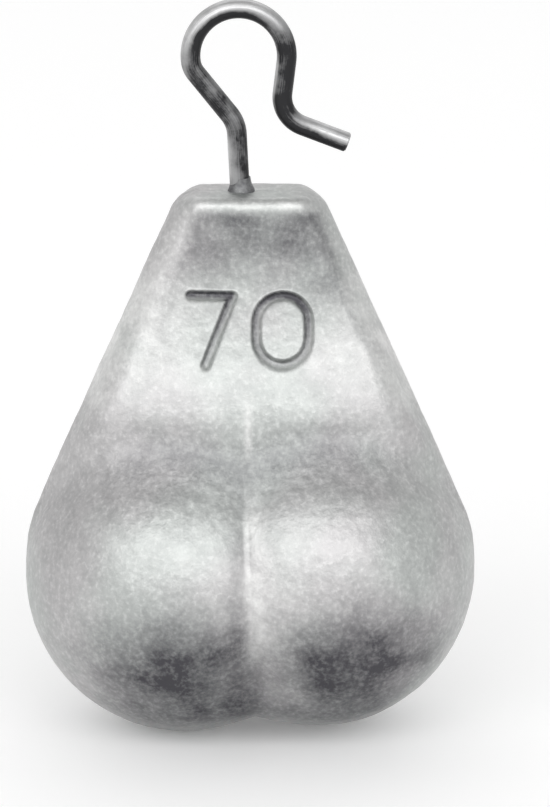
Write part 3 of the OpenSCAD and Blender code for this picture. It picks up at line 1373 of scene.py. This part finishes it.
@dataclass
class Collar:
    """The small cone of lead that climbs the foot of the stem, where the metal drew up the wire."""

    lead: bpy.types.Material
    hook: WireHook
    width: float = 1.5
    height: float = 0.7
    sunk: float = 0.6
    lip: float = 0.01
    # Share of painted shade on the cone, which keeps the stem's foot dark
    shade_share: float = 0.75
    steps: int = 14
    sides: int = 64

    def build(self) -> bpy.types.Object:
        """Builds and dresses the cone, which stands on the stem's own axis.

        Its radius at a share t of its height is the wire's, plus (1 - t)^2 of the spread at its foot.

        Returns:
            The object.
        """
        foot, _ = self.hook.stem()
        heading = math.radians(90 + self.hook.stem_lean)
        t = np.linspace(0, 1, self.steps)
        highlight_breakup = self.hook.wire_d / 2 + self.lip
        radius = np.concatenate([[0, self.width / 2], highlight_breakup + (self.width / 2 - highlight_breakup) * (1 - t) ** 2, [0]])
        rise = np.concatenate([[-self.sunk, -self.sunk], t * self.height, [self.height]])
        middle = foot + rise[:, None] * np.array([math.cos(heading), math.sin(heading)])
        rings, _, _ = rings_along(middle, np.full(len(rise), heading), radius, self.sides)
        piece = closed_mesh("lead_collar", rings)
        # No painted highlight on the cone, and painted shade all over it
        keep_attribute(piece, "painted_highlight", np.zeros(rings.shape[:2]))
        keep_attribute(piece, "painted_shade", np.full(rings.shape[:2], self.shade_share))
        piece.data.materials.append(self.lead)
        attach(piece, ROOT)
        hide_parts("lead_body")
        return piece


@dataclass
class SoftBox:
    """One oblong lamp that faces a point of the object.

    The level is its own brightness, where 1 is white. The aim alone is in millimetres.
    """

    name: str
    azimuth: float
    elevation: float
    distance: float
    width: float
    level: float
    height: float = 0.4
    aim: Point = (0.6, 0.0, -22.0)

    def build(self) -> None:
        """Makes the lamp. A flat lamp's power is its brightness times its area times pi."""
        lamp = bpy.data.lights.new(self.name, "AREA")
        lamp.shape = "RECTANGLE"
        lamp.size, lamp.size_y = self.width, self.height
        lamp.energy = self.level * self.width * self.height * math.pi
        a, e = math.radians(self.azimuth), math.radians(self.elevation)
        away = Vector((math.sin(a) * math.cos(e), -math.cos(a) * math.cos(e), math.sin(e)))
        made = placed(self.name, lamp)
        made.location = Vector(self.aim) * MM + away * self.distance
        made.rotation_euler = away.to_track_quat("Z", "Y").to_euler()


@dataclass
class Studio:
    """Pale floor, plain soft light and a camera at the photograph's angle."""

    floor: PaleFloor
    floor_z: float
    floor_r: float = 1.4
    floor_sides: int = 96
    image_w: int = 550
    image_h: int = 807
    px_per_mm: float = 17.78
    loop_px: Place = (239.3, 62.0)
    elevation: float = 16.0
    lens: float = 240.0
    sensor: float = 36.0
    clip_factor: float = 20.0
    horizon_level: float = 0.92
    zenith_level: float = 0.55

    def build_floor(self) -> None:
        """Makes a round floor that the lobes stand on."""
        around = np.linspace(0, 2 * math.pi, self.floor_sides, endpoint=False)
        points = np.stack([np.cos(around), np.sin(around), np.zeros(self.floor_sides)], -1) * self.floor_r
        points[:, 2] = self.floor_z
        mesh = bpy.data.meshes.new("floor")
        mesh.from_pydata(points.tolist(), [], [list(range(self.floor_sides))])
        mesh.materials.append(self.floor.material())
        made = placed("floor", mesh)

    def build_camera(self) -> None:
        """Makes the camera.

        It looks along +Y and down by the elevation. The pixel where the loop's centre lies in the
        photograph fixes the point that the middle of the picture looks at.
        """
        e = math.radians(self.elevation)
        right = (self.image_w / 2 - self.loop_px[0]) / self.px_per_mm
        down = (self.image_h / 2 - self.loop_px[1]) / self.px_per_mm
        target = Vector((right, 0, -down / math.cos(e))) * MM
        distance = self.image_h / self.px_per_mm * self.lens / self.sensor * MM
        camera = bpy.data.cameras.new("camera")
        camera.lens = self.lens
        camera.sensor_width = self.sensor
        camera.clip_start = distance / self.clip_factor
        camera.clip_end = distance * self.clip_factor
        made = placed("camera", camera)
        made.location = target + Vector((0, -math.cos(e), math.sin(e))) * distance
        made.rotation_euler = (math.pi / 2 - e, 0, 0)
        bpy.context.scene.camera = made

    def build_light(self) -> None:
        """Makes the surrounding light, which is brighter at the horizon than overhead, and the lamps."""
        world = bpy.data.worlds.new("room")
        world.use_nodes = True
        nodes, links = world.node_tree.nodes, world.node_tree.links
        split = nodes.new("ShaderNodeSeparateXYZ")
        links.new(nodes.new("ShaderNodeTexCoord").outputs["Generated"], split.inputs["Vector"])
        fade = nodes.new("ShaderNodeMapRange")
        links.new(split.outputs["Z"], fade.inputs["Value"])
        fade.inputs["To Min"].default_value = self.horizon_level
        fade.inputs["To Max"].default_value = self.zenith_level
        links.new(fade.outputs["Result"], nodes["Background"].inputs["Strength"])
        nodes["Background"].inputs["Color"].default_value = (1, 1, 1, 1)
        bpy.context.scene.world = world
        SoftBox("front_lamp", azimuth=-3, elevation=34, distance=0.72, width=1.5, level=1.88).build()
        SoftBox("back_lamp", azimuth=180, elevation=50, distance=0.8, width=1.0, level=0.7).build()

    def build(self) -> None:
        """Makes the whole studio."""
        self.build_camera()
        self.build_light()
        self.build_floor()
        bpy.context.scene.view_settings.view_transform = "Standard"


def main() -> None:
    """Builds the studio, the casting, the hook and the collar round its stem, and reports each piece."""
    logging.basicConfig(level=logging.INFO, format="%(message)s")
    low, _ = CAD_BOX
    Studio(PaleFloor(), floor_z=low.z).build()
    casting, hook = Casting(CastLead()).build(), WireHook(DrawnSteel())
    for piece in (casting, hook.build(), Collar(casting.data.materials[0], hook).build()):
        log.info("%s: %d faces", piece.name, len(piece.data.polygons))


if __name__ == "__main__":
    main()
